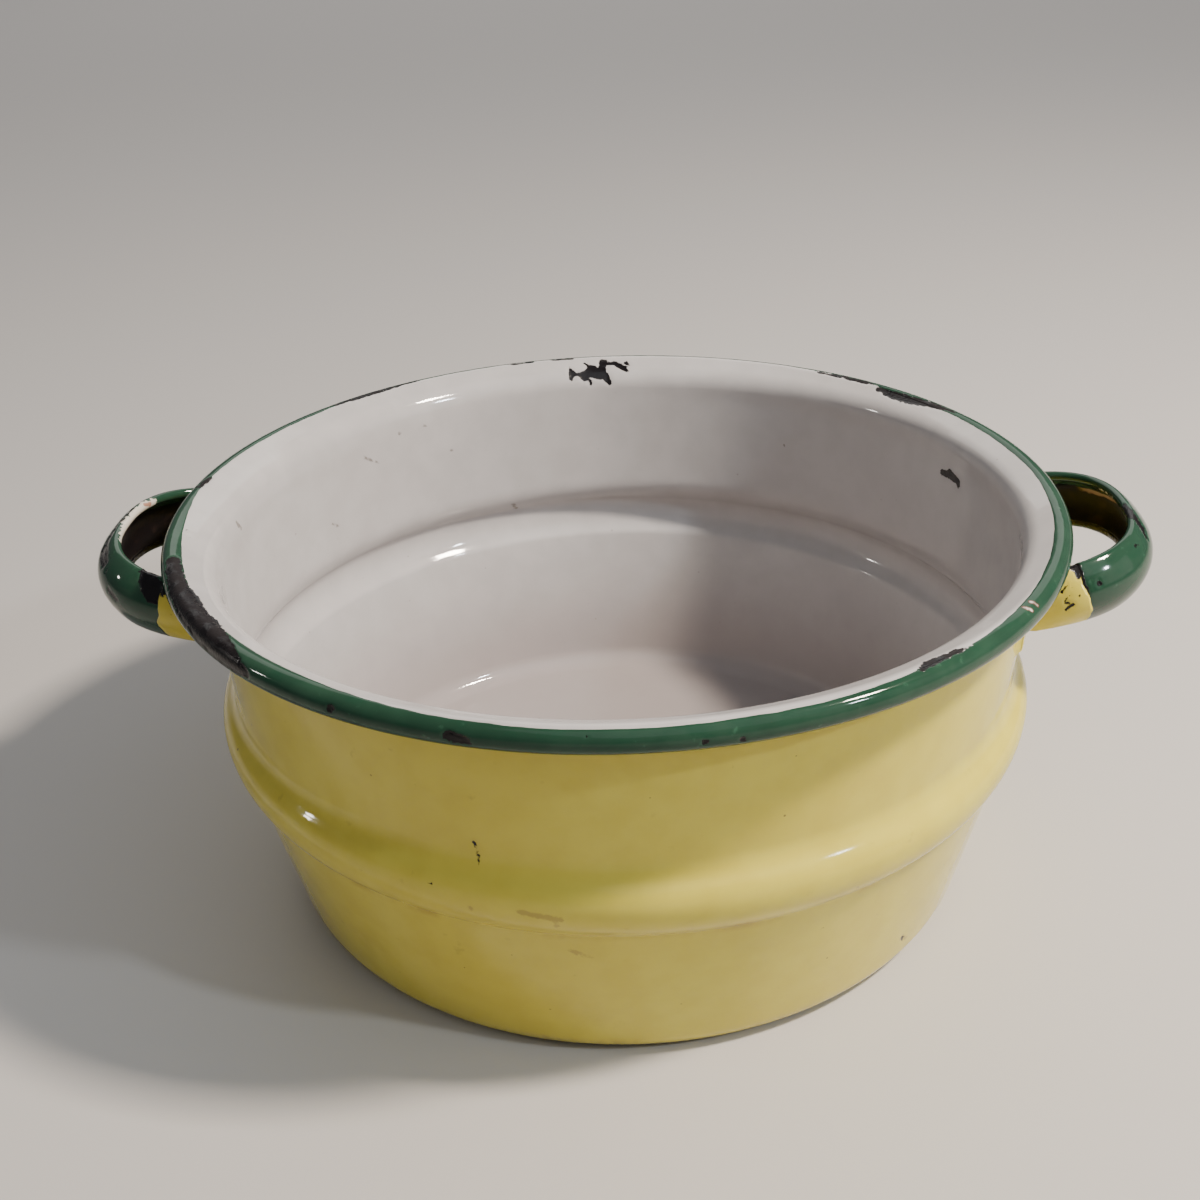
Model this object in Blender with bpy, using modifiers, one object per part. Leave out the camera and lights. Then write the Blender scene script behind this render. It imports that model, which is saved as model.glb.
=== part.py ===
"""Two-handled enamelled steel pan, modelled in metres with +Z up.

A pressed steel body has a flat floor, a tapered lower wall, a step, a rounded belly, a waist
and a flared lip that ends in a hollow rolled rim. Two crowned steel straps, bent into loops,
are spot-welded to the neck. Enamel coats lie over the steel as thin shells of their own:
white inside, yellow outside, green on the rim and the grips.

The origin is at the centre of the base, on the surface the pan stands on, and the handles lie
along X.
"""
import math

import bmesh
import bpy
from mathutils import Matrix, Vector

# Sheet and coats
STEEL = 0.0008
COAT = 0.0004
GAP = 0.0003
COAT_NEAR = STEEL / 2 + GAP
COAT_FAR = COAT_NEAR + COAT

# Body: radii and heights of the visible outer surface
RIM_RADIUS = 0.1000
RIM_HEIGHT = 0.0906
BEAD_RADIUS = 0.0028
BELLY_RADIUS = 0.09365
BELLY_HEIGHT = 0.0471
BASE_CORNER_RADIUS = 0.0080
LOWER_WALL_LEAN = 13.4
STEP_FILLET = 0.0008
STEP_SLOPE = 46.3
BELLY_LOWER_RADIUS = 0.0113
BELLY_UPPER_RADIUS = 0.0060
BELLY_UPPER_TURN = 46.0
WAIST_RADIUS_OF_CURVE = 0.0063
NECK_FLARE = 3.6
LIP_FILLET = 0.0038
LIP_SLOPE = 25.0
CURL_TURN = 240.0
RIM_COAT_TURN = 210.0
BASE_COAT_START = 30.0
NECK_COAT_END = 60.0
TURNED_STEPS = 40

# Handles: the visible surface of the loop, seen in its own tilted plane
HANDLE_HEIGHT = 0.0744
HANDLE_ROOT = 0.0905
HANDLE_REACH = 0.0263
HANDLE_HALF_SPAN = 0.0262
HANDLE_SQUARENESS = 2.47
HANDLE_TILT = 11.8
STRAP_HALF_HEIGHT = 0.0071
STRAP_CROWN = 0.0028
CROWN_FADE = (-0.0040, 0.0080)
TILT_FADE = (0.0, 0.0150)
SECTION_ROWS = 4
FOOT_BEND_RADIUS = 0.0025
FOOT_SWEEP = 5.0
FOOT_COAT_REACH = 0.0080
WRAP_RETURN = 0.0012
WELD_RADIUS = 0.0022
WELD_SIDES = 16
WINDOW_DEPTH = 0.020

COLOURS = {
    "pan_body": (0.018, 0.016, 0.017),
    "white_lining": (0.72, 0.70, 0.68),
    "yellow_outer_coat": (0.68, 0.57, 0.16),
    "green_rim_coat": (0.035, 0.16, 0.08),
    "handle_strap": (0.015, 0.013, 0.013),
    "green_grip_coat": (0.035, 0.16, 0.08),
    "yellow_foot_coat": (0.68, 0.57, 0.16),
    "weld_nugget": (0.10, 0.09, 0.09),
}
ENAMEL_ROUGHNESS = 0.18
STEEL_ROUGHNESS = 0.55


def clear_scene():
    """Empty the scene, so that only the pan is in it."""
    for thing in list(bpy.data.objects):
        bpy.data.objects.remove(thing, do_unlink=True)


def new_collection(name):
    """Add a collection to the scene."""
    group = bpy.data.collections.new(name)
    bpy.context.scene.collection.children.link(group)
    return group


def surface(name, kind):
    """Make the material of one sub-part."""
    made = bpy.data.materials.new(name)
    made.use_nodes = True
    shader = made.node_tree.nodes["Principled BSDF"]
    shader.inputs["Base Color"].default_value = (*COLOURS[kind], 1.0)
    bare = kind in ("pan_body", "handle_strap", "weld_nugget")
    shader.inputs["Roughness"].default_value = STEEL_ROUGHNESS if bare else ENAMEL_ROUGHNESS
    shader.inputs["Metallic"].default_value = 0.3 if bare else 0.0
    return made


def left_of(heading):
    """Unit vector to the left of a heading in the (radius, height) plane."""
    return Vector((-math.sin(heading), math.cos(heading)))


def ahead_of(heading):
    """Unit vector along a heading in the (radius, height) plane."""
    return Vector((math.cos(heading), math.sin(heading)))


class SheetPath:
    """The middle line of the sheet, drawn by straight runs and turns.

    It lives in the (radius, height) plane. The inside of the pan is on its left, and each
    point keeps its heading, so that a coat can be offset from it.
    """

    def __init__(self, start, heading):
        self.at = Vector(start)
        self.heading = math.radians(heading)
        self.points = [self.at.copy()]
        self.normals = [left_of(self.heading)]
        self.marks = {}

    def keep(self):
        """Record the present place."""
        self.points.append(self.at.copy())
        self.normals.append(left_of(self.heading))

    def forward(self, length):
        """Run straight ahead."""
        self.at = self.at + ahead_of(self.heading) * length
        self.keep()

    def turn(self, degrees, radius, steps):
        """Run round an arc, to the left when degrees is positive."""
        side = math.copysign(radius, degrees)
        centre = self.at + left_of(self.heading) * side
        for _ in range(steps):
            self.heading += math.radians(degrees) / steps
            self.at = centre - left_of(self.heading) * side
            self.keep()

    def mark(self, name):
        """Name the present place."""
        self.marks[name] = len(self.points) - 1

    def offset(self, distance, first, last):
        """Points at a distance to the left, between two places."""
        return [
            self.points[i] + self.normals[i] * distance
            for i in range(first, last + 1)
        ]


def neck_and_lip_lengths(path, lip_radius, bead_radius):
    """Lengths of the neck and of the lip's slope that put the rolled rim in its place."""
    neck = path.heading
    lip = math.radians(LIP_SLOPE)
    bead_centre = Vector((RIM_RADIUS - BEAD_RADIUS, RIM_HEIGHT - BEAD_RADIUS))
    reach = bead_centre + left_of(lip) * bead_radius - path.at
    reach -= (left_of(lip) - left_of(neck)) * lip_radius
    along_neck = ahead_of(neck)
    along_lip = ahead_of(lip)
    spread = along_neck.x * along_lip.y - along_neck.y * along_lip.x
    neck_length = (reach.x * along_lip.y - reach.y * along_lip.x) / spread
    lip_length = (along_neck.x * reach.y - along_neck.y * reach.x) / spread
    return neck_length, lip_length


def sheet_path():
    """The steel's middle line, from the floor's centre to the end of the curled rim."""
    wall = 90.0 - LOWER_WALL_LEAN
    corner = BASE_CORNER_RADIUS - COAT_FAR
    belly_lower = BELLY_LOWER_RADIUS - COAT_FAR
    belly_upper = BELLY_UPPER_RADIUS - COAT_FAR
    lip = LIP_FILLET + COAT_FAR
    bead = BEAD_RADIUS - COAT_FAR
    step = STEP_FILLET + COAT_FAR

    step_rise = belly_lower * math.sin(math.radians(STEP_SLOPE))
    step_run = belly_lower * (1.0 - math.cos(math.radians(STEP_SLOPE)))
    fillet_turn = wall - (90.0 - STEP_SLOPE)
    fillet = (left_of(math.radians(90.0 - STEP_SLOPE)) - left_of(math.radians(wall))) * step
    corner_run = corner * math.sin(math.radians(wall))
    corner_rise = corner * (1.0 - math.cos(math.radians(wall)))
    wall_rise = BELLY_HEIGHT - step_rise - fillet.y - corner_rise - STEEL / 2
    wall_length = wall_rise / math.sin(math.radians(wall))
    wall_run = wall_length * math.cos(math.radians(wall))
    floor_length = BELLY_RADIUS - COAT_FAR - step_run - fillet.x - wall_run - corner_run

    path = SheetPath((0.0, STEEL / 2), 0.0)
    path.forward(floor_length)
    path.turn(BASE_COAT_START, corner, 1)
    path.mark("outer_coat_start")
    path.turn(wall - BASE_COAT_START, corner, 2)
    path.forward(wall_length)
    path.turn(-fillet_turn, step, 2)
    path.turn(STEP_SLOPE, belly_lower, 4)
    path.turn(BELLY_UPPER_TURN, belly_upper, 2)
    path.turn(-(BELLY_UPPER_TURN + NECK_FLARE), WAIST_RADIUS_OF_CURVE + COAT_FAR, 3)
    neck_length, lip_length = neck_and_lip_lengths(path, lip, bead)
    path.mark("neck_start")
    path.forward(neck_length)
    path.mark("neck_end")
    path.turn(NECK_COAT_END - 90.0 + NECK_FLARE, lip, 2)
    path.mark("outer_coat_end")
    path.turn(LIP_SLOPE - NECK_COAT_END, lip, 2)
    path.forward(lip_length - GAP)
    path.mark("lining_end")
    path.forward(GAP)
    path.mark("rim_coat_start")
    path.turn(-RIM_COAT_TURN, bead, 7)
    path.mark("rim_coat_end")
    path.turn(RIM_COAT_TURN - CURL_TURN, bead, 1)
    path.mark("curl_end")
    return path


def turned(name, kind, outline, closed, group):
    """Turn an outline in the (radius, height) plane about Z."""
    mesh = bpy.data.meshes.new(name)
    edges = [(i, i + 1) for i in range(len(outline) - 1)]
    if closed:
        edges.append((len(outline) - 1, 0))
    mesh.from_pydata([(p.x, 0.0, p.y) for p in outline], edges, [])
    made = bpy.data.objects.new(name, mesh)
    made.data.materials.append(surface(name, kind))
    group.objects.link(made)
    screw = made.modifiers.new("turn", "SCREW")
    screw.axis = "Z"
    screw.angle = math.tau
    screw.steps = TURNED_STEPS
    screw.render_steps = TURNED_STEPS
    screw.use_merge_vertices = True
    screw.merge_threshold = 0.00001
    screw.use_smooth_shade = True
    return made


def layer(path, near, far, first, last):
    """Outline between two offsets of the path: up the inner line and down the outer one."""
    up = path.offset(max(near, far), first, last)
    down = path.offset(min(near, far), first, last)
    return up + down[::-1]


def make_body(path, group):
    """The pressed steel body, whose floor reaches the axis."""
    outline = layer(path, -STEEL / 2, STEEL / 2, 0, path.marks["curl_end"])
    return turned("pan_body", "pan_body", outline, False, group)


def make_lining(path, group):
    """The white coat of the inside, from the floor's centre to the lip."""
    outline = layer(path, COAT_NEAR, COAT_FAR, 0, path.marks["lining_end"])
    return turned("white_lining", "white_lining", outline, False, group)


def make_outer_coat(path, group):
    """The yellow coat of the outside, from the base corner to the underside of the lip."""
    first = path.marks["outer_coat_start"]
    last = path.marks["outer_coat_end"]
    outline = layer(path, -COAT_NEAR, -COAT_FAR, first, last)
    return turned("yellow_outer_coat", "yellow_outer_coat", outline, True, group)


def make_rim_coat(path, group):
    """The green coat round the rolled rim."""
    first = path.marks["rim_coat_start"]
    last = path.marks["rim_coat_end"]
    outline = layer(path, COAT_NEAR, COAT_FAR, first, last)
    return turned("green_rim_coat", "green_rim_coat", outline, True, group)


def wall_radius(path, height):
    """Radius of the sheet's middle line on the straight neck, at a height."""
    low = path.points[path.marks["neck_start"]]
    high = path.points[path.marks["neck_end"]]
    share = (height - low.y) / (high.y - low.y)
    return low.x + (high.x - low.x) * share


def blend(low, high, value):
    """Smooth step from 0 to 1 as value goes from low to high."""
    share = min(max((value - low) / (high - low), 0.0), 1.0)
    return share * share * (3.0 - 2.0 * share)


class StrapPath:
    """Half of a handle's middle line, from the front of the loop to the end of one foot.

    A place on it is one number: 0 to 1 runs round the loop to the pan, 1 to 2 runs round the
    bend into the foot, and 2 to 3 runs along the foot.
    """

    def __init__(self, path):
        self.reach = HANDLE_REACH - COAT_FAR
        self.span = HANDLE_HALF_SPAN - COAT_FAR
        self.foot_radius = wall_radius(path, HANDLE_HEIGHT) + STEEL + GAP
        self.bend_side = self.span + FOOT_BEND_RADIUS
        bend_distance = self.foot_radius + FOOT_BEND_RADIUS
        self.bend_centre = math.sqrt(bend_distance ** 2 - self.bend_side ** 2)
        self.foot_start = math.atan2(self.bend_side, self.bend_centre)

    def loop_place(self, turn):
        """Place and outward normal on the loop, a superellipse in its own plane."""
        power = 2.0 / HANDLE_SQUARENESS
        out = self.reach * max(math.cos(turn), 0.0) ** power
        side = self.span * math.sin(turn) ** power
        slope_out = (out / self.reach) ** (HANDLE_SQUARENESS - 1.0) / self.reach
        slope_side = (side / self.span) ** (HANDLE_SQUARENESS - 1.0) / self.span
        return out, side, Vector((slope_out, slope_side)).normalized()

    def frame(self, place):
        """Centre, outward normal, height direction and crown at a place."""
        flare = math.radians(NECK_FLARE)
        tilt = math.radians(HANDLE_TILT)
        if place <= 1.0:
            out, side, normal = self.loop_place(place * math.pi / 2)
            lean = -flare + (tilt + flare) * blend(*TILT_FADE, out)
            centre = Vector((
                HANDLE_ROOT + out * math.cos(tilt),
                side,
                HANDLE_HEIGHT + out * math.sin(tilt),
            ))
            outward = Vector((
                normal.x * math.cos(lean),
                normal.y,
                normal.x * math.sin(lean),
            ))
            up = Vector((-math.sin(lean), 0.0, math.cos(lean)))
            return centre, outward, up, STRAP_CROWN * blend(*CROWN_FADE, out)
        if place <= 2.0:
            turn = (place - 1.0) * (math.pi / 2 - self.foot_start)
            outward = Vector((math.sin(turn), math.cos(turn), 0.0))
            corner = Vector((self.bend_centre, self.bend_side, HANDLE_HEIGHT))
            centre = corner - outward * FOOT_BEND_RADIUS
            crown = STRAP_CROWN * blend(*CROWN_FADE, 0.0) * (2.0 - place)
        else:
            turn = self.foot_start + (place - 2.0) * math.radians(FOOT_SWEEP)
            outward = Vector((math.cos(turn), math.sin(turn), 0.0))
            centre = outward * self.foot_radius
            centre.z = HANDLE_HEIGHT
            crown = 0.0
        radial = Vector((centre.x, centre.y, 0.0)).normalized()
        up = radial * math.sin(flare) + Vector((0.0, 0.0, math.cos(flare)))
        return centre, outward, up, crown

    def place_at_reach(self, distance):
        """Place on the loop that lies a given distance out from the pan."""
        power = HANDLE_SQUARENESS / 2.0
        return math.acos((distance / self.reach) ** power) / (math.pi / 2)


def strap_section(crown):
    """Middle line of the strap's section as (outward, up) points, bottom to top."""
    half = STRAP_HALF_HEIGHT - COAT_FAR
    line = []
    for i in range(SECTION_ROWS + 1):
        share = 2.0 * i / SECTION_ROWS - 1.0
        line.append(Vector((crown * (1.0 - share * share), half * share)))
    return line


def section_normals(line):
    """Outward normal at each point of a section line that runs upward."""
    normals = []
    for i in range(len(line)):
        before = line[max(i - 1, 0)]
        after = line[min(i + 1, len(line) - 1)]
        along = (after - before).normalized()
        normals.append(Vector((along.y, -along.x)))
    return normals


def band(crown, near, far):
    """Closed section between two offsets of the strap's middle line."""
    line = strap_section(crown)
    normals = section_normals(line)
    outer = [p + n * far for p, n in zip(line, normals)]
    inner = [p + n * near for p, n in zip(line, normals)]
    return outer + inner[::-1]


def wrapped_band(crown):
    """Closed section of a coat that covers the strap's outside and folds round its edges."""
    line = strap_section(crown)
    normals = section_normals(line)
    rails = {COAT_NEAR: [], COAT_FAR: []}
    for distance, rail in rails.items():
        rail.append(line[0] - normals[0] * distance + Vector((0.0, WRAP_RETURN)))
        rail.append(line[0] - normals[0] * distance)
        rail.append(line[0] + Vector((0.0, -distance)))
        rail.extend(p + n * distance for p, n in zip(line, normals))
        rail.append(line[-1] + Vector((0.0, distance)))
        rail.append(line[-1] - normals[-1] * distance)
        rail.append(line[-1] - normals[-1] * distance + Vector((0.0, -WRAP_RETURN)))
    return rails[COAT_FAR] + rails[COAT_NEAR][::-1]


def loft(name, strap, places, section, side=1.0, capped_start=False):
    """Skin a changing closed section along part of the strap's path, on one side of the loop.

    Every face's diagonal rises along the path, so that layers with the same places nest.
    """
    shape = bmesh.new()
    rings = []
    for place in places:
        centre, outward, up, crown = strap.frame(place)
        ring = []
        for point in section(crown):
            corner = centre + outward * point.x + up * point.y
            corner.y *= side
            ring.append(shape.verts.new(corner))
        rings.append(ring)
    count = len(rings[0])
    for one, two in zip(rings, rings[1:]):
        for i in range(count):
            j = (i + 1) % count
            if i < count // 2:
                shape.faces.new((one[i], two[i], two[j]))
                shape.faces.new((one[i], two[j], one[j]))
            else:
                shape.faces.new((one[i], two[i], one[j]))
                shape.faces.new((two[i], two[j], one[j]))
    if capped_start:
        shape.faces.new(rings[0])
    shape.faces.new(rings[-1][::-1])
    bmesh.ops.recalc_face_normals(shape, faces=shape.faces)
    mesh = bpy.data.meshes.new(name)
    shape.to_mesh(mesh)
    shape.free()
    return mesh


def spaced(first, last, count):
    """Evenly spaced numbers, ends included."""
    return [first + (last - first) * i / count for i in range(count + 1)]


def place_piece(name, kind, mesh, half_turn, group):
    """Put one piece of a handle on its side of the pan."""
    mesh.shade_smooth()
    mesh.set_sharp_from_angle(angle=math.radians(40.0))
    if not mesh.materials:
        mesh.materials.append(None)
    made = bpy.data.objects.new(name, mesh)
    group.objects.link(made)
    made.rotation_euler.z = half_turn
    made.material_slots[0].link = "OBJECT"
    made.material_slots[0].material = surface(name, kind)
    return made


def mirror_limbs(piece):
    """Complete a half that is open at the handle's middle."""
    mirror = piece.modifiers.new("both_limbs", "MIRROR")
    mirror.use_axis = (False, True, False)
    mirror.use_clip = True
    mirror.merge_threshold = 0.00001


def weld_frame(strap, side):
    """Centre of one weld spot, with Z along its axis."""
    centre, outward, up, _ = strap.frame(2.5)
    normal = up.cross(outward).cross(up).normalized()
    centre.y *= side
    normal.y *= side
    return Matrix.Translation(centre) @ normal.to_track_quat("Z", "Y").to_matrix().to_4x4()


def discs(name, frames, radius, depth):
    """A mesh of one disc at each frame."""
    shape = bmesh.new()
    for frame in frames:
        bmesh.ops.create_cone(
            shape, cap_ends=True, segments=WELD_SIDES,
            radius1=radius, radius2=radius, depth=depth, matrix=frame,
        )
    mesh = bpy.data.meshes.new(name)
    shape.to_mesh(mesh)
    shape.free()
    return mesh


def window_mesh(strap):
    """Two blocks that open the outer coat where the feet lie on the steel."""
    inner_side = strap.span - STEEL / 2 - 2 * GAP
    end_turn = strap.foot_start + math.radians(FOOT_SWEEP)
    outer_side = strap.foot_radius * math.sin(end_turn) + 2 * GAP
    height = 2 * (STRAP_HALF_HEIGHT + 2 * GAP)
    size = Matrix.Diagonal((WINDOW_DEPTH, outer_side - inner_side, height, 1.0))
    shape = bmesh.new()
    for side in (-1.0, 1.0):
        middle = (strap.bend_centre, side * (inner_side + outer_side) / 2, HANDLE_HEIGHT)
        bmesh.ops.create_cube(shape, size=1.0, matrix=Matrix.Translation(middle) @ size)
    mesh = bpy.data.meshes.new("foot_windows")
    shape.to_mesh(mesh)
    shape.free()
    return mesh


def add_cutter(name, mesh, half_turn, group):
    """A shape that is only cut away from others."""
    made = bpy.data.objects.new(name, mesh)
    made.rotation_euler.z = half_turn
    made.hide_render = True
    made.display_type = "WIRE"
    group.objects.link(made)
    return made


def cut(target, cutter):
    """Cut one shape out of another."""
    boolean = target.modifiers.new(cutter.name, "BOOLEAN")
    boolean.operation = "DIFFERENCE"
    boolean.solver = "EXACT"
    boolean.object = cutter


def steel_band(crown):
    """Section of the strap's steel."""
    return band(crown, -STEEL / 2, STEEL / 2)


def foot_band(crown):
    """Section of the coat on a foot's outer face."""
    return band(crown, COAT_NEAR, COAT_FAR)


def make_handles(path, outer_coat, parts, cutters):
    """Both handles with their coats and welds, and the windows for their feet."""
    strap = StrapPath(path)
    steel_places = spaced(0.0, 1.0, 12) + spaced(1.0, 2.0, 4)[1:] + spaced(2.0, 3.0, 2)[1:]
    grip_end = strap.place_at_reach(FOOT_COAT_REACH)
    foot_start = strap.place_at_reach(FOOT_COAT_REACH - GAP)
    grip_places = [place for place in steel_places if place < grip_end] + [grip_end]
    foot_places = [foot_start] + [place for place in steel_places if place > foot_start]

    steel_mesh = loft("strap", strap, steel_places, steel_band)
    grip_mesh = loft("grip_coat", strap, grip_places, wrapped_band)
    welds = [weld_frame(strap, side) for side in (-1.0, 1.0)]
    hole_mesh = discs("weld_holes", welds, WELD_RADIUS + GAP, 4 * STEEL)
    foot_opening = window_mesh(strap)

    for hand, half_turn in (("right", 0.0), ("left", math.pi)):
        steel = place_piece(hand + "_handle_strap", "handle_strap", steel_mesh, half_turn, parts)
        mirror_limbs(steel)
        cut(steel, add_cutter("cut_welds_" + hand, hole_mesh, half_turn, cutters))
        cut(outer_coat, add_cutter("cut_feet_" + hand, foot_opening, half_turn, cutters))
        grip = place_piece(hand + "_grip_coat", "green_grip_coat", grip_mesh, half_turn, parts)
        mirror_limbs(grip)
        for foot, y_sign in (("front", -1.0), ("rear", 1.0)):
            side = y_sign * math.cos(half_turn)
            name = f"{hand}_{foot}_foot_coat"
            coat = loft(name, strap, foot_places, foot_band, side, capped_start=True)
            place_piece(name, "yellow_foot_coat", coat, half_turn, parts)
            name = f"{hand}_{foot}_weld"
            nugget = discs(name, [weld_frame(strap, side)], WELD_RADIUS, STEEL)
            place_piece(name, "weld_nugget", nugget, half_turn, parts)


def main():
    """Build the whole pan."""
    clear_scene()
    parts = new_collection("enamelled_pan")
    cutters = new_collection("cutters")
    path = sheet_path()
    make_body(path, parts)
    make_lining(path, parts)
    outer_coat = make_outer_coat(path, parts)
    make_rim_coat(path, parts)
    make_handles(path, outer_coat, parts, cutters)


main()
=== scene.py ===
"""Looks of the two-handled enamelled pan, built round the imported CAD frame.

Every coat of enamel, the pressed steel and the handles are made again as fine meshes from the
same measurements as the frame, and each one stands for its CAD nodes. Chips are real hollows in
the coats: each coat carries a "chip" value at its vertices, which lowers the surface to the
black ground coat and tells the material where that ground coat shows.
"""

import math

import bpy
import numpy as np
from mathutils import Matrix, Vector, noise


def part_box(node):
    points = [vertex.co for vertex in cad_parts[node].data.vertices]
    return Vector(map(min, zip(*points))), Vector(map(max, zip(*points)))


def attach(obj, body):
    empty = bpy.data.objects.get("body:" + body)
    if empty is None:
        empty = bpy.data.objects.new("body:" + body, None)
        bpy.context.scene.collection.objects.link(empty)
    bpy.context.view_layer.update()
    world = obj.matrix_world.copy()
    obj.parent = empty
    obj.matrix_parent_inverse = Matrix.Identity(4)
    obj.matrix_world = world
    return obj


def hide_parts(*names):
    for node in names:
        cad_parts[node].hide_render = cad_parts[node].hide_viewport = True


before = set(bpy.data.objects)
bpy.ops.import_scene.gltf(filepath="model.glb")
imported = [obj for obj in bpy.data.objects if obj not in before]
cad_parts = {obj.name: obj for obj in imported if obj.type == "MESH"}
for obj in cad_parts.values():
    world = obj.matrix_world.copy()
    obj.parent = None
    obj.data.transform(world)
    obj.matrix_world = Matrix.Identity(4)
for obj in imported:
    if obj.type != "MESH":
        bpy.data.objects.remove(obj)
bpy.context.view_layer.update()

# Lengths are in metres and angles in degrees, except where a comment says mm
MM = 0.001

# The faces of the sheet and its coats, as distances from the sheet's middle line
STEEL_HALF = 0.0004
COAT_BACK = 0.0007
COAT_FACE = 0.0011
WHITE_FACE = 0.00106
CHIP_DEPTH = 0.00028

# How far the white runs on under the green, and where round the base's corner the yellow starts
LINING_OVERLAP = 0.0010
OUTER_COAT_START = 30.0

# The body, from the frame where it shows a size
RIM_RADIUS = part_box("green_rim_coat")[1].y
RIM_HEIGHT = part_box("green_rim_coat")[1].z
BEAD_RADIUS = 0.0028
BELLY_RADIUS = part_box("yellow_outer_coat")[1].y
BELLY_HEIGHT = 0.0471
BASE_CORNER_RADIUS = 0.0080
LOWER_WALL_LEAN = 13.4
STEP_FILLET = 0.0008
STEP_SLOPE = 46.3
BELLY_LOWER_RADIUS = 0.0113
BELLY_UPPER_RADIUS = 0.0060
BELLY_UPPER_TURN = 46.0
WAIST_RADIUS_OF_CURVE = 0.0063
NECK_FLARE = 3.6
LIP_FILLET = 0.0038
LIP_SLOPE = 25.0
CURL_TURN = 240.0
RIM_COAT_TURN = 210.0

# The handles
HANDLE_HEIGHT = 0.0744
HANDLE_ROOT = 0.0905
HANDLE_REACH = 0.0261
HANDLE_HALF_SPAN = 0.0262
HANDLE_SQUARENESS = 2.47
HANDLE_TILT = 11.8
STRAP_HALF_HEIGHT = 0.0071
STRAP_CROWN = 0.0028
CROWN_FADE = (-0.0040, 0.0080)
TILT_FADE = (0.0, 0.0150)
FOOT_BEND_RADIUS = 0.0025
FOOT_SWEEP = 5.0
FOOT_COAT_REACH = 0.0080

# Where the green of the rim ends: its usual mm past the bead, and where it runs in over the lip
# or stays back, as degrees round, spread and mm
BOUNDARY_REST = 0.65
BOUNDARY_BENDS = (
    (270.0, 35.0, 0.55), (342.0, 17.0, -1.05), (195.0, 15.0, -1.5), (222.0, 20.0, -1.6),
    (16.0, 22.0, -1.15), (152.0, 22.0, -0.65), (44.0, 14.0, -0.35),
)

# Uneven lines as sums of noise: height, size of its lumps in metres, seed
BOUNDARY_WAVES = ((0.16, 0.016, 0.0), (0.10, 0.004, 5.0))
CHIP_WAVES = ((0.44, 0.0016, 3.0), (0.22, 0.0016 / 2.7, 9.0))
SEAM_WAVES = ((0.0007, 0.004, 6.0), (0.0003, 0.0012, 2.0))
LOWER_WAVES = ((0.048, 0.009, 2.0), (0.025, 0.0022, 1.0))
UPPER_WAVES = ((0.12, 0.006, 7.0), (0.05, 0.0022, 4.0))

# The bulge of the outer coat over the feet: its rise, the width of its edge, and the share of
# that edge by which it reaches in at its ends and out beside the strap
TAB_RISE = 0.00115
TAB_EDGE = 0.0011
TAB_INSET = 0.2
TAB_OUTSET = 3.4

# How far the rim sits to one side, and the heights between which it gets there
RIM_SWAY = -0.0009
SWAY_HEIGHTS = (0.0800, 0.0880)

# The green's thin inner edge: how wide it is, and how far it sinks
RIM_EDGE_WIDTH = 0.0004
RIM_EDGE_SINK = 0.00015

# From where to where in from a chip's outline its bank falls, in mm, and the value far from it
CHIP_BANK = (-0.15, 0.30)
FAR_OFF = -9.0

# Fineness of the meshes
AROUND_BODY = 660
AROUND_RIM = 1440
AROUND_STEEL = 360
HIDDEN_STEP = 4
WALL_PLACES = 2000
LIP_ROWS = 21
RIM_ROWS = 34
RIM_BACK_ROWS = 12
STRAP_KNOTS = 901
STRAP_ROWS = 180
GRIP_HALF_ROWS = 96
FOOT_ROWS = 60
EDGE_STEPS = 9
FACE_STEPS = 26
RETURN_STEPS = 5

# Colours of the enamels: the usual one, a lighter and a darker one
WHITES = ((0.455, 0.436, 0.433), (0.500, 0.483, 0.480), (0.376, 0.357, 0.352))
YELLOWS = ((0.61, 0.515, 0.075), (0.65, 0.565, 0.095), (0.50, 0.400, 0.047))
GREENS = ((0.0175, 0.051, 0.030), (0.030, 0.075, 0.046), (0.008, 0.028, 0.017))

# Colours of single marks on the white, the yellow and the green
MARK_GREY = (0.16, 0.14, 0.12)
MARK_BROWN = (0.30, 0.20, 0.06)
MARK_PALE = (0.72, 0.66, 0.60)
MARK_RUST = (0.13, 0.045, 0.03)


def smooth(low, high, value):
    """Smooth step from 0 at low to 1 at high, for numbers and arrays."""
    share = np.clip((value - low) / (high - low), 0.0, 1.0)
    return share * share * (3.0 - 2.0 * share)


def rough(points, size, seed):
    """Smooth noise between about -1 and 1 at each point, with lumps of a size in metres."""
    flat = np.asarray(points).reshape(-1, 3) / size + seed
    values = [noise.noise(Vector(p)) for p in flat]
    return np.array(values).reshape(np.asarray(points).shape[:-1])


def waves(points, parts):
    """A sum of smooth noises, each given by its height, the size of its lumps and its seed."""
    return sum(height * rough(points, size, seed) for height, size, seed in parts)


# ---- the sheet's middle line

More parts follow.
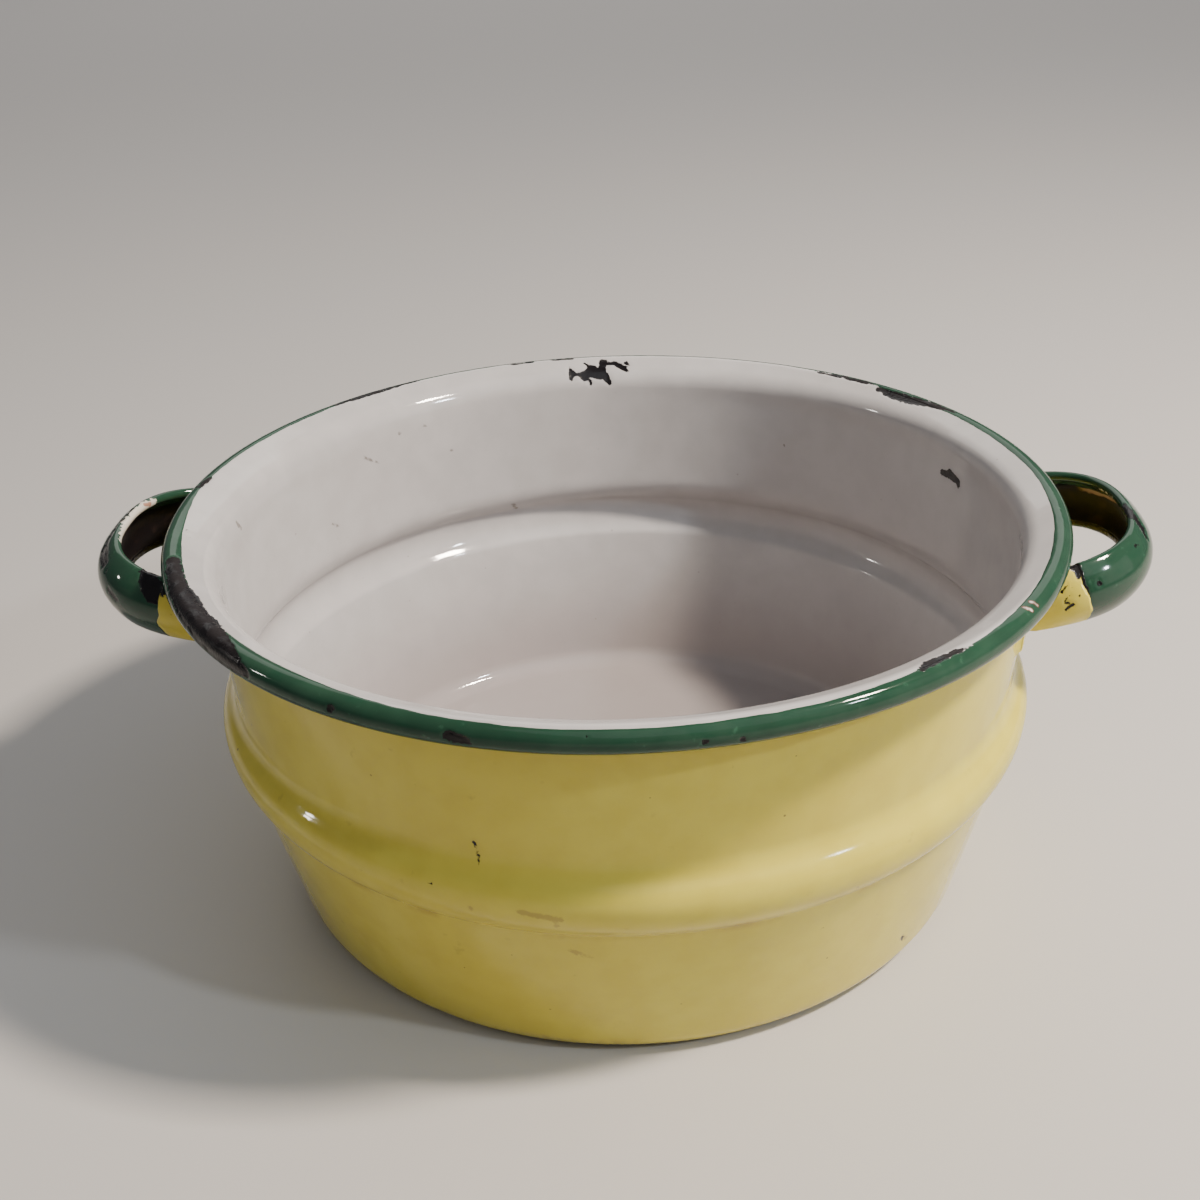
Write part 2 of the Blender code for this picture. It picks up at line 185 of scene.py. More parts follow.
class SheetPath:
    """The middle line of the sheet in the (radius, height) plane, as runs and arcs.

    The inside of the pan is on its left. A place on it is its length from the floor's centre.
    """

    def __init__(self, start):
        self.starts = []
        self.runs = []
        self.length = 0.0
        self.at = np.array(start, float)
        self.heading = 0.0
        self.marks = {}

    def add(self, length, bend, mark):
        """Add a run with a constant bend, in radians per metre, and name its end."""
        self.starts.append(self.length)
        self.runs.append((self.at[0], self.at[1], self.heading, bend))
        self.length += length
        place = self.at_length(np.array([self.length]))
        self.at = np.array([place[0][0], place[1][0]])
        self.heading = float(place[2][0])
        self.marks[mark] = self.length

    def forward(self, length, mark):
        """Run straight ahead."""
        self.add(length, 0.0, mark)

    def turn(self, degrees, radius, mark):
        """Run round an arc, to the left when degrees is positive."""
        self.add(abs(math.radians(degrees)) * radius, math.copysign(1.0 / radius, degrees), mark)

    def at_length(self, lengths):
        """Radius, height and heading at an array of lengths."""
        index = np.clip(np.searchsorted(self.starts, lengths, side="right") - 1, 0, None)
        table = np.array(self.runs)[index]
        along = lengths - np.array(self.starts)[index]
        heading = table[..., 2] + table[..., 3] * along
        bent = np.abs(table[..., 3]) > 1e-9
        bend = np.where(bent, table[..., 3], 1.0)
        run_r = np.where(bent, (np.sin(heading) - np.sin(table[..., 2])) / bend,
                         along * np.cos(heading))
        run_z = np.where(bent, (np.cos(table[..., 2]) - np.cos(heading)) / bend,
                         along * np.sin(heading))
        return table[..., 0] + run_r, table[..., 1] + run_z, heading

    def offset(self, lengths, distance):
        """Radius and height of points at a distance to the left of the line."""
        r, z, heading = self.at_length(lengths)
        return r - np.sin(heading) * distance, z + np.cos(heading) * distance


def left_of(heading):
    """Unit vector to the left of a heading."""
    return np.array([-math.sin(heading), math.cos(heading)])


def ahead_of(heading):
    """Unit vector along a heading."""
    return np.array([math.cos(heading), math.sin(heading)])


def sheet_path():
    """The pressed sheet, from the floor's centre to the end of the curled rim."""
    wall = 90.0 - LOWER_WALL_LEAN
    slope = 90.0 - STEP_SLOPE
    corner = BASE_CORNER_RADIUS - COAT_FACE
    belly_lower = BELLY_LOWER_RADIUS - COAT_FACE
    belly_upper = BELLY_UPPER_RADIUS - COAT_FACE
    lip_bend = LIP_FILLET + COAT_FACE
    bead = BEAD_RADIUS - COAT_FACE
    step = STEP_FILLET + COAT_FACE
    step_rise = belly_lower * math.sin(math.radians(STEP_SLOPE))
    step_run = belly_lower * (1.0 - math.cos(math.radians(STEP_SLOPE)))
    fillet = (left_of(math.radians(slope)) - left_of(math.radians(wall))) * step
    corner_rise = corner * (1.0 - math.cos(math.radians(wall)))
    wall_rise = BELLY_HEIGHT - step_rise - fillet[1] - corner_rise - STEEL_HALF
    wall_length = wall_rise / math.sin(math.radians(wall))
    floor_length = BELLY_RADIUS - COAT_FACE - step_run - fillet[0]
    floor_length -= wall_length * math.cos(math.radians(wall))
    floor_length -= corner * math.sin(math.radians(wall))

    path = SheetPath((0.0, STEEL_HALF))
    path.forward(floor_length, "corner")
    path.turn(wall, corner, "wall")
    path.forward(wall_length, "step")
    path.turn(slope - wall, step, "belly")
    path.turn(STEP_SLOPE, belly_lower, "widest")
    path.turn(BELLY_UPPER_TURN, belly_upper, "waist")
    path.turn(-(BELLY_UPPER_TURN + NECK_FLARE), WAIST_RADIUS_OF_CURVE + COAT_FACE, "neck")

    neck = path.heading
    lip = math.radians(LIP_SLOPE)
    bead_centre = np.array([RIM_RADIUS - BEAD_RADIUS, RIM_HEIGHT - BEAD_RADIUS])
    reach = bead_centre + left_of(lip) * bead - path.at
    reach -= (left_of(lip) - left_of(neck)) * lip_bend
    runs = np.linalg.solve(np.array([ahead_of(neck), ahead_of(lip)]).T, reach)
    path.forward(runs[0], "lip")
    path.turn(LIP_SLOPE - math.degrees(neck), lip_bend, "slope")
    path.forward(runs[1], "bead")
    path.turn(-RIM_COAT_TURN, bead, "rim_end")
    path.turn(RIM_COAT_TURN - CURL_TURN, bead, "curl_end")
    return path


SHEET = sheet_path()


def rows_between(names, spacings):
    """Lengths along the sheet between marks, each stretch with its own spacing."""
    places = [0.0 if names[0] == "centre" else SHEET.marks[names[0]]]
    for name, spacing in zip(names[1:], spacings):
        end = SHEET.marks[name]
        count = max(1, round((end - places[-1]) / spacing))
        places.extend(np.linspace(places[-1], end, count + 1)[1:])
    return np.array(places)


# ---- meshes

def make_object(name, points, faces, values):
    """A smooth mesh object from points and faces, with named values at its vertices."""
    mesh = bpy.data.meshes.new(name)
    mesh.from_pydata([tuple(p) for p in points], [], faces)
    for label, numbers in values.items():
        attribute = mesh.attributes.new(label, "FLOAT", "POINT")
        attribute.data.foreach_set("value", np.asarray(numbers, np.float32).ravel())
    mesh.update()
    mesh.shade_smooth()
    made = bpy.data.objects.new(name, mesh)
    bpy.context.scene.collection.objects.link(made)
    return made


def grid_faces(rows, columns, close_rows):
    """Quads of a grid of points whose columns run all round, and whose rows do when asked."""
    faces = []
    for i in range(rows if close_rows else rows - 1):
        low, high = i * columns, (i + 1) % rows * columns
        for j in range(columns):
            k = (j + 1) % columns
            faces.append((low + j, high + j, high + k, low + k))
    return faces


def turned_shell(name, rings, values, reaches_axis):
    """A closed shell of rings about Z, each an array of (around, 3) points.

    When the shell reaches the axis, its first and last rings are single points there.
    """
    columns = rings[0].shape[0]
    if not reaches_axis:
        points = np.concatenate(rings)
        faces = grid_faces(len(rings), columns, True)
        return make_object(name, points, faces, values)
    inner = rings[1:-1]
    points = np.concatenate(inner + [rings[0][:1], rings[-1][:1]])
    faces = grid_faces(len(inner), columns, False)
    start = len(inner) * columns
    last = start - columns
    for j in range(columns):
        k = (j + 1) % columns
        faces.append((start, j, k))
        faces.append((start + 1, last + k, last + j))
    keep = {
        label: np.concatenate([numbers[columns:-columns], numbers[:1], numbers[-1:]])
        for label, numbers in values.items()
    }
    return make_object(name, points, faces, keep)


def ring_points(angles, r, z):
    """Points about Z from radii and heights, arrays of (rows, around) or (rows, 1)."""
    r, z, turn = np.broadcast_arrays(r, z, angles[None, :])
    return np.stack([r * np.cos(turn), r * np.sin(turn), z], axis=-1)


def sway(points):
    """Move the lip and rim a little to one side, as they sit on this pan."""
    moved = np.array(points, float)
    moved[..., 0] += RIM_SWAY * smooth(*SWAY_HEIGHTS, moved[..., 2])
    return moved


# ---- camera, lights and floor

CAMERA_LENS = 44.45
SENSOR = 36.0
CAMERA_PLACE = Vector((0.0088, -0.3079, 0.2246))
CAMERA_AZIMUTH = 2.54
CAMERA_ELEVATION = 27.62
CAMERA_ROLL = -2.09
CLIP_START = 0.01


def make_camera():
    """The camera, looking down on the pan from the front."""
    data = bpy.data.cameras.new("camera")
    data.lens = CAMERA_LENS
    data.sensor_width = SENSOR
    data.clip_start = CLIP_START
    camera = bpy.data.objects.new("camera", data)
    turn = Matrix.Rotation(math.radians(CAMERA_AZIMUTH), 4, "Z")
    tip = Matrix.Rotation(math.radians(90.0 - CAMERA_ELEVATION), 4, "X")
    roll = Matrix.Rotation(math.radians(CAMERA_ROLL), 4, "Z")
    camera.matrix_world = Matrix.Translation(CAMERA_PLACE) @ turn @ tip @ roll
    bpy.context.scene.collection.objects.link(camera)
    bpy.context.scene.camera = camera


def add_light(name, place, target, size, watts, colour):
    """A soft rectangular light that faces a point."""
    data = bpy.data.lights.new(name, "AREA")
    data.shape = "RECTANGLE"
    data.size, data.size_y = size
    data.energy = watts
    data.color = colour
    light = bpy.data.objects.new(name, data)
    light.location = place
    aim = Vector(target) - Vector(place)
    light.rotation_euler = aim.to_track_quat("-Z", "Y").to_euler()
    bpy.context.scene.collection.objects.link(light)


PAN_MIDDLE = (0.0, 0.0, 0.05)
# Small lamps: degrees round from +X, degrees up, distance, size, watts and colour
LAMPS = {
    "key": (-13.5, 52.0, 1.0, 0.11, 19.4, (1.0, 0.88, 0.745)),
    "side": (-29.0, 36.0, 1.5, 0.08, 6.5, (0.84, 0.92, 1.0)),
    "left": (182.0, 20.0, 1.5, 0.07, 1.5, (1.0, 0.95, 0.88)),
}
# Broad lights: place, target, size, watts and colour
PANELS = {
    "ceiling": ((0.5, -0.9, 2.0), PAN_MIDDLE, (2.2, 2.2), 12.0, (0.87, 0.94, 1.0)),
    "right_wall": ((2.3, -1.0, 0.9), PAN_MIDDLE, (2.0, 1.4), 5.0, (1.0, 0.97, 0.93)),
    "far_floor": ((0.0, 2.7, 1.7), (0.0, 2.7, 0.0), (4.0, 2.4), 42.0, (1.0, 0.98, 0.95)),
}
ROOM_COLOUR = (0.78, 0.79, 0.84, 1.0)
ROOM_STRENGTH = 0.16
FLOOR_SIZE = 12.0
FLOOR_COLOUR = (0.525, 0.50, 0.48, 1.0)
FLOOR_ROUGHNESS = 0.5


def away(azimuth, elevation, distance):
    """A place at a distance from the pan, in a direction given in degrees from +X."""
    turn, rise = math.radians(azimuth), math.radians(elevation)
    level = distance * math.cos(rise)
    height = distance * math.sin(rise) + PAN_MIDDLE[2]
    return (level * math.cos(turn), level * math.sin(turn), height)


def make_lights():
    """A warm key and a cool side lamp from the right, one from the left, and a dim soft room."""
    for name, (azimuth, elevation, distance, size, watts, colour) in LAMPS.items():
        place = away(azimuth, elevation, distance)
        add_light(name, place, PAN_MIDDLE, (size, size), watts, colour)
    for name, panel in PANELS.items():
        add_light(name, *panel)
    world = bpy.data.worlds.new("room")
    world.use_nodes = True
    shade = world.node_tree.nodes["Background"]
    shade.inputs["Color"].default_value = ROOM_COLOUR
    shade.inputs["Strength"].default_value = ROOM_STRENGTH
    bpy.context.scene.world = world


def make_floor():
    """A plain pale surface to stand on."""
    bpy.ops.mesh.primitive_plane_add(size=FLOOR_SIZE)
    floor = bpy.context.object
    floor.name = "floor"
    skin = bpy.data.materials.new("floor")
    skin.use_nodes = True
    shader = skin.node_tree.nodes["Principled BSDF"]
    shader.inputs["Base Color"].default_value = FLOOR_COLOUR
    shader.inputs["Roughness"].default_value = FLOOR_ROUGHNESS
    floor.data.materials.append(skin)


# ---- materials

class Skin:
    """A material under construction, in short steps that add nodes and return their outputs."""

    def __init__(self, name):
        self.made = bpy.data.materials.new(name)
        self.made.use_nodes = True
        self.tree = self.made.node_tree
        self.shader = self.tree.nodes["Principled BSDF"]
        self.place = self.tree.nodes.new("ShaderNodeTexCoord").outputs["Object"]

    def add(self, kind, **sockets):
        """Add a node and plug its inputs."""
        node = self.tree.nodes.new("ShaderNode" + kind)
        for label, value in sockets.items():
            self.plug(node.inputs[label], value)
        return node

    def plug(self, socket, value):
        """Feed a socket from another one, or give it a number, vector or colour."""
        if isinstance(value, bpy.types.NodeSocket):
            self.tree.links.new(value, socket)
        elif socket.type == "RGBA":
            socket.default_value = (*value, 1.0)
        else:
            socket.default_value = value

    def math(self, operation, one, two):
        """One sum."""
        node = self.tree.nodes.new("ShaderNodeMath")
        node.operation = operation
        self.plug(node.inputs[0], one)
        self.plug(node.inputs[1], two)
        return node.outputs[0]

    def plus(self, one, two):
        """Two numbers added."""
        return self.math("ADD", one, two)

    def minus(self, one, two):
        """The second number taken from the first."""
        return self.math("SUBTRACT", one, two)

    def times(self, one, two):
        """Two numbers multiplied."""
        return self.math("MULTIPLY", one, two)

    def noise(self, size, detail, stretch=(1.0, 1.0, 1.0), shift=0.0):
        """Cloudy noise from 0 to 1, with lumps of a size in metres."""
        scale = tuple(part / size for part in stretch)
        moved = self.add("Mapping", Vector=self.place, Scale=scale, Location=(shift, shift, shift))
        node = self.add("TexNoise", Vector=moved.outputs[0], Scale=1.0, Detail=detail)
        return node.outputs[0]

    def cloud(self, size, detail, low, high, **where):
        """Soft patches, 0 where the noise is under low and 1 where it is over high."""
        return self.ramp(self.noise(size, detail, **where), low, high)

    def fray(self, size, detail, shift=0.0):
        """Noise about zero, which makes an edge uneven."""
        return self.minus(self.noise(size, detail, shift=shift), 0.5)

    def spots(self, cell, reach, share):
        """Small round spots, 1 at their middle, in a share of cells of a size in metres."""
        node = self.add("TexVoronoi", Vector=self.place, Scale=1.0 / cell)
        chance = self.add("SeparateColor", Color=node.outputs["Color"]).outputs
        size = self.times(chance[1], reach / cell)
        near = self.minus(1.0, self.math("DIVIDE", node.outputs["Distance"], size))
        return self.times(self.ramp(near, 0.0, 0.5), self.math("LESS_THAN", chance[0], share))

    def ramp(self, value, low, high, bottom=0.0, top=1.0):
        """A smooth change from bottom to top while a value goes from low to high."""
        node = self.add("MapRange")
        node.interpolation_type = "SMOOTHSTEP"
        for socket, number in zip(node.inputs, (value, low, high, bottom, top)):
            self.plug(socket, number)
        return node.outputs[0]

    def mix(self, share, one, two):
        """A colour between two."""
        node = self.tree.nodes.new("ShaderNodeMix")
        node.data_type = "RGBA"
        colours = [socket for socket in node.inputs if socket.type == "RGBA"]
        self.plug(node.inputs["Factor"], share)
        self.plug(colours[0], one)
        self.plug(colours[1], two)
        return next(socket for socket in node.outputs if socket.type == "RGBA")

    def blend(self, share, one, two):
        """A number between two."""
        return self.plus(self.times(two, share), self.times(one, self.minus(1.0, share)))

    def value(self, name):
        """A number that the mesh carries at its vertices."""
        node = self.tree.nodes.new("ShaderNodeAttribute")
        node.attribute_name = name
        return node.outputs["Fac"]

    def height(self):
        """Height above the base."""
        return self.add("SeparateXYZ", Vector=self.place).outputs["Z"]

    def bump(self, heights):
        """Fine relief from (value, depth in metres) pairs."""
        normal = None
        for value, depth in heights:
            node = self.add("Bump", Strength=1.0, Distance=depth, Height=value)
            if normal is not None:
                self.plug(node.inputs["Normal"], normal)
            normal = node.outputs[0]
        return normal

    def finish(self, colour, roughness, normal, specular):
        """Plug the results into the shader."""
        self.plug(self.shader.inputs["Base Color"], colour)
        self.plug(self.shader.inputs["Roughness"], roughness)
        self.plug(self.shader.inputs["Normal"], normal)
        self.shader.inputs["Specular IOR Level"].default_value = specular
        return self.made


# The ground coat where a chip bares it, and how soft a chip's edge is
CHIP_BLACK = (0.0050, 0.0042, 0.0048)
CHIP_BROWN = (0.012, 0.009, 0.0095)
CHIP_GRAIN = (0.011, 0.008, 0.009)
CHIP_SOFTNESS = 0.09
DULL_HEIGHTS = (0.0894, 0.0903)
SHINY_GROUND = 0.16
DULL_GROUND = 0.60

# The gloss of the enamel, and its specks
ENAMEL_ROUGHNESS = 0.055
SMEAR_ROUGHNESS = 0.06
SPECK_CELL = 0.0052
SPECK_RADIUS = 0.00045
SPECK_SHARE = 0.32
SPECK_BROWN = (0.075, 0.045, 0.022)

# Colours of wear on the white, the yellow, the green and the bare straps, and the darker grey
# towards the inside floor
RUB_GREY = (0.30, 0.27, 0.25)
FLOOR_GREY = (0.31, 0.265, 0.255)
CREASE_BROWN = (0.33, 0.20, 0.045)
BASE_BROWN = (0.30, 0.17, 0.040)
BLOTCH_OCHRE = (0.42, 0.31, 0.06)
DIRT_BROWN = (0.25, 0.18, 0.05)
STREAK_GREEN = (0.010, 0.050, 0.027)
PALE_GREEN = (0.085, 0.21, 0.13)
SCRAPE_CREAM = (0.62, 0.57, 0.49)
SCORCH_RED = (0.28, 0.10, 0.05)
WIPED_BROWN = (0.055, 0.030, 0.022)
DUST_OCHRE = (0.36, 0.25, 0.045)
DUST_PINK = (0.34, 0.22, 0.15)


def ground_coat(skin):
    """Colour, roughness and relief of the black ground coat: dull brown on top, shiny below."""
    top = skin.ramp(skin.height(), *DULL_HEIGHTS)
    cloud = skin.cloud(0.0050, 3.0, 0.38, 0.55, shift=3.0)
    dull = skin.times(skin.blend(top, 0.15, 1.0), cloud)
    grain = skin.noise(0.0006, 3.0, shift=8.0)
    colour = skin.mix(dull, CHIP_BLACK, CHIP_BROWN)
    colour = skin.mix(skin.times(grain, 0.5), colour, CHIP_GRAIN)
    return colour, skin.blend(dull, SHINY_GROUND, DULL_GROUND), grain


def enamel(name, colours, wear, speck, marks=None, shine=0.4):
    """Glossy enamel that varies, has fine specks and stains, and is chipped to the ground coat.

    wear is a function that gets the skin and the clean colour and returns the used colour.
    marks is the colour and the strength of marks, and the colour of their halo if they have one.
    """
    usual, light, dark = colours
    skin = Skin(name)
    broad = skin.cloud(0.045, 3.0, 0.30, 0.70)
    small = skin.cloud(0.007, 4.0, 0.30, 0.72, shift=11.0)
    clean = skin.mix(skin.times(broad, 0.75), usual, light)
    clean = skin.mix(skin.times(small, 0.30), clean, dark)
    used = wear(skin, clean)
    specks = skin.times(skin.spots(SPECK_CELL, SPECK_RADIUS, SPECK_SHARE), speck)
    used = skin.mix(specks, used, SPECK_BROWN)
    if marks is not None:
        tint, strength, *halo = marks
        stain = skin.plus(skin.value("mark"), skin.times(skin.fray(0.0009, 3.0), 1.1))
        for pale in halo:
            used = skin.mix(skin.ramp(stain, -0.40, -0.20, 0.0, 0.85), used, pale)
        used = skin.mix(skin.ramp(stain, -0.25, 0.25, 0.0, strength), used, tint)
    edge = skin.times(skin.fray(0.00075, 3.0, 5.0), 0.8)
    inside = skin.plus(skin.value("chip"), edge)
    bare = skin.ramp(inside, -CHIP_SOFTNESS, CHIP_SOFTNESS)
    ground, ground_rough, grain = ground_coat(skin)
    smear = skin.cloud(0.018, 4.0, 0.35, 0.75, shift=20.0)
    gloss = skin.plus(skin.times(smear, SMEAR_ROUGHNESS), ENAMEL_ROUGHNESS)
    normal = skin.bump((
        (skin.noise(0.0042, 1.0, shift=2.0), 0.000035),
        (skin.noise(0.0150, 1.0, shift=7.0), 0.000110),
        (skin.times(specks, -1.0), 0.00002),
        (skin.times(grain, bare), 0.00012),
    ))
    roughness = skin.blend(bare, gloss, ground_rough)
    return skin.finish(skin.mix(bare, used, ground), roughness, normal, shine)


def white_rubs_and_floor_grey(skin, clean):
    """Faint grey rubs inside, and a darker, warmer grey towards the floor and into the corner."""
    rubs = skin.cloud(0.0022, 4.0, 0.66, 0.80, stretch=(1.0, 1.0, 3.0), shift=31.0)
    patch = skin.cloud(0.030, 2.0, 0.50, 0.70, shift=14.0)
    used = skin.mix(skin.times(skin.times(rubs, patch), 0.45), clean, RUB_GREY)
    # The white turns darker and warmer grey from 40 mm high down to the floor
    return skin.mix(skin.ramp(skin.height(), 0.040, 0.004, 0.0, 0.75), used, FLOOR_GREY)


def yellow_wear(skin, clean):
    """Brown stains that gather in the crease and round the base, and faint blotches."""
    height = skin.height()
    above, below = skin.ramp(height, 0.0365, 0.0388), skin.ramp(height, 0.0425, 0.0392)
    crease = skin.times(above, below)
    blotch = skin.cloud(0.0100, 4.0, 0.46, 0.66, shift=40.0)
    fine = skin.cloud(0.0018, 4.0, 0.42, 0.70, shift=44.0)
    used = skin.mix(skin.times(crease, skin.times(blotch, 0.50)), clean, CREASE_BROWN)
    base = skin.times(skin.ramp(height, 0.0062, 0.0012), skin.blend(blotch, 0.12, 0.55))
    used = skin.mix(skin.times(base, fine), used, BASE_BROWN)
    faint = skin.cloud(0.0210, 5.0, 0.56, 0.72, shift=52.0)
    used = skin.mix(skin.times(faint, 0.16), used, BLOTCH_OCHRE)
    dirt = skin.cloud(0.0042, 4.0, 0.68, 0.80, shift=60.0)
    return skin.mix(skin.times(dirt, 0.30), used, DIRT_BROWN)


def green_wear(skin, clean):
    """Streaks of a lighter and a darker green, as the brushed colour has."""
    streak = skin.cloud(0.0050, 4.0, 0.42, 0.72, stretch=(1.0, 1.0, 2.2), shift=70.0)
    used = skin.mix(skin.times(streak, 0.45), clean, STREAK_GREEN)
    pale = skin.cloud(0.0022, 4.0, 0.64, 0.80, shift=75.0)
    return skin.mix(skin.times(pale, 0.30), used, PALE_GREEN)


def grip_wear(skin, clean):
    """The grip's green, with pale scrapes and scorched spots where the mesh says so."""
    used = green_wear(skin, clean)
    scrape = skin.fray(0.0011, 4.0, 90.0)
    pale = skin.plus(skin.value("pale"), skin.times(scrape, 2.6))
    used = skin.mix(skin.ramp(pale, -0.10, 0.10, 0.0, 0.92), used, SCRAPE_CREAM)
    red = skin.plus(skin.value("red"), skin.times(scrape, 0.9))
    return skin.mix(skin.ramp(red, -0.15, 0.15, 0.0, 0.8), used, SCORCH_RED)


def bare_metal(name, dusty, shine=0.5):
    """Sheet steel under its black ground coat, with ochre overspray where the mesh says so."""
    skin = Skin(name)
    colour, roughness, grain = ground_coat(skin)
    wiped = skin.cloud(0.006, 4.0, 0.52, 0.75, shift=25.0)
    colour = skin.mix(skin.times(wiped, 0.30), colour, WIPED_BROWN)
    if dusty:
        dust = skin.plus(skin.value("dust"), skin.fray(0.0014, 5.0, 95.0))
        patch = skin.cloud(0.0090, 2.0, 0.40, 0.60, shift=97.0)
        tint = skin.mix(patch, DUST_OCHRE, DUST_PINK)
        colour = skin.mix(skin.ramp(dust, 0.35, 0.85, 0.0, 0.85), colour, tint)
        roughness = skin.ramp(dust, 0.0, 0.8, 0.32, 0.65)
    normal = skin.bump(((skin.noise(0.0040, 2.0, shift=2.0), 0.00008), (grain, 0.00004)))
    return skin.finish(colour, roughness, normal, shine)


# ---- chips and marks

def nearness(points, strokes):
    """How far each point lies inside the nearest stroke, in millimetres, or FAR_OFF.

    A stroke is a list of (place, radius in millimetres) that a brush would run through.
    """
    flat = np.asarray(points).reshape(-1, 3) * 1000.0
    best = np.full(len(flat), FAR_OFF)
    for stroke in strokes:
        places = np.array([place for place, _ in stroke]) * 1000.0
        radii = np.array([radius for _, radius in stroke])
        if len(stroke) == 1:
            places = np.concatenate([places, places + 1e-4])
            radii = np.concatenate([radii, radii])
        for one, two, first, second in zip(places, places[1:], radii, radii[1:]):
            along = two - one
            share = np.clip((flat - one) @ along / (along @ along), 0.0, 1.0)
            gap = np.linalg.norm(flat - one - share[:, None] * along, axis=1)
            best = np.maximum(best, first + (second - first) * share - gap)
    return np.clip(best, FAR_OFF, -FAR_OFF).reshape(np.asarray(points).shape[:-1])


def ragged(points, field):
    """Make the edge of a field of nearness uneven."""
    flat = np.asarray(points).reshape(-1, 3)
    values = field.ravel().copy()
    close = np.flatnonzero(values > -2.0)
    values[close] += waves(flat[close], CHIP_WAVES)
    return values.reshape(field.shape)


def sunk(chip):
    """How far a coat's face lies below its whole surface, by nearness to a chip."""
    return CHIP_DEPTH * smooth(*CHIP_BANK, chip)


def placed(strokes, place):
    """Strokes with every number of a point but its last, the radius, turned into a place."""
    return [[(place(*point[:-1]), point[-1]) for point in stroke] for stroke in strokes]


def on_pan(degrees, r, z):
    """A point of the pan from degrees round, radius and height."""
    turn = math.radians(degrees)
    return sway((r * math.cos(turn), r * math.sin(turn), z))


def rim_strokes(strokes):
    """Strokes on the rolled rim and the lip, given as (degrees round, mm past the bead, radius)."""
    def place(degrees, past):
        r, z = SHEET.offset(np.array([SHEET.marks["bead"] + past * MM]), COAT_FACE)
        return on_pan(degrees, r[0], z[0])

    return placed(strokes, place)


def wall_strokes(strokes, distance):
    """Strokes on a wall, given as (degrees round, height in mm, radius in mm)."""
    lengths = np.linspace(SHEET.marks["corner"], SHEET.marks["slope"], WALL_PLACES)
    r, z = SHEET.offset(lengths, distance)

    def place(degrees, height):
        nearest = np.argmin(np.abs(z - height * MM))
        return on_pan(degrees, r[nearest], z[nearest])

    return placed(strokes, place)


RIM_CHIPS = rim_strokes((
    ((198.2, 0.6, 1.55), (202.0, 0.8, 1.95), (206.0, 1.0, 2.3), (209.3, 0.8, 3.0),
     (213.0, 1.2, 3.0), (217.0, 1.3, 3.5), (220.3, 1.8, 3.1), (223.5, 2.5, 2.6),
     (226.2, 2.9, 2.0), (228.5, 3.1, 0.7)),
    ((174.8, 1.0, 0.95), (172.0, 0.6, 0.65)), ((193.0, 2.6, 0.5),),
    ((188.5, -1.2, 0.30),), ((186.7, -0.4, 0.28),), ((190.4, -2.0, 0.24),),
    ((305.3, 0.95, 0.9), (307.2, 0.5, 1.35), (309.4, 0.8, 0.8), (312.8, 1.1, 0.2)),
    ((241.1, 3.0, 0.95),), ((254.6, 3.2, 1.1), (256.6, 3.6, 0.9)),
    ((279.9, 3.5, 0.75),), ((283.6, 3.8, 0.6),), ((268.4, 2.2, 0.25),),
    ((140.6, 0.9, 0.5), (136.0, 0.8, 0.9), (132.0, 0.75, 0.95), (127.5, 0.85, 0.6),
     (124.8, 0.9, 0.3)),
    ((109.0, 0.8, 0.4), (105.0, 0.85, 0.75)), ((101.5, 0.8, 0.5), (98.2, 0.8, 0.6)),
    ((56.0, 0.6, 0.5), (51.0, 0.55, 0.75), (45.8, 0.6, 0.5)),
    ((44.2, -0.4, 0.7), (41.6, -0.8, 1.3), (38.8, -0.9, 1.5), (34.6, 0.1, 1.25),
     (31.5, 0.5, 0.8), (28.9, 0.8, 0.3)),
    ((98.7, -3.0, 0.45), (98.5, -4.6, 0.95), (98.7, -6.2, 0.45)), ((99.6, -4.8, 0.35),),
    ((98.0, -4.9, 0.50), (96.5, -5.2, 0.60)),
    ((96.4, -5.6, 1.35), (95.4, -4.6, 1.65), (94.8, -3.2, 1.25)),
    ((96.0, -1.4, 0.35), (95.5, -3.3, 0.7)),
    ((94.6, -5.4, 1.2), (93.4, -5.4, 1.4)), ((95.2, -6.6, 0.55), (95.6, -7.8, 0.30)),
    ((92.9, -1.2, 1.15), (93.1, -3.0, 1.1), (93.3, -4.9, 1.45), (92.4, -6.5, 0.95),
     (92.0, -7.7, 0.4)),
    ((92.3, -2.2, 0.50), (90.8, -1.9, 0.95), (90.3, -3.0, 0.85), (89.3, -3.8, 0.95),
     (88.6, -4.8, 0.35)),
    ((89.0, -1.6, 0.60), (88.5, -2.9, 0.45)),
))
LINING_CHIPS = wall_strokes((
    ((25.6, 77.7, 0.80), (23.5, 78.5, 1.15), (21.2, 77.9, 0.95), (20.5, 76.8, 0.55)),
), WHITE_FACE)
LINING_MARKS = wall_strokes((
    ((111.5, 51.6, 0.55), (110.7, 49.4, 0.50)), ((112.2, 50.4, 0.30),), ((132.4, 80.7, 0.60),),
    ((127.3, 80.9, 0.55),), ((122.6, 72.0, 0.50),), ((176.8, 82.6, 0.45), (175.6, 80.0, 0.45)),
    ((140.6, 77.6, 0.30), (137.6, 74.5, 0.30)), ((150.0, 64.0, 0.35), (148.6, 62.5, 0.30)),
    ((60.0, 70.5, 0.35),), ((72.5, 79.0, 0.30),), ((200.0, 60.0, 0.35),), ((258.0, 66.0, 0.4),),
    ((118.0, 78.0, 0.30),), ((185.0, 55.0, 0.35),), ((95.0, 66.0, 0.28),),
), WHITE_FACE)
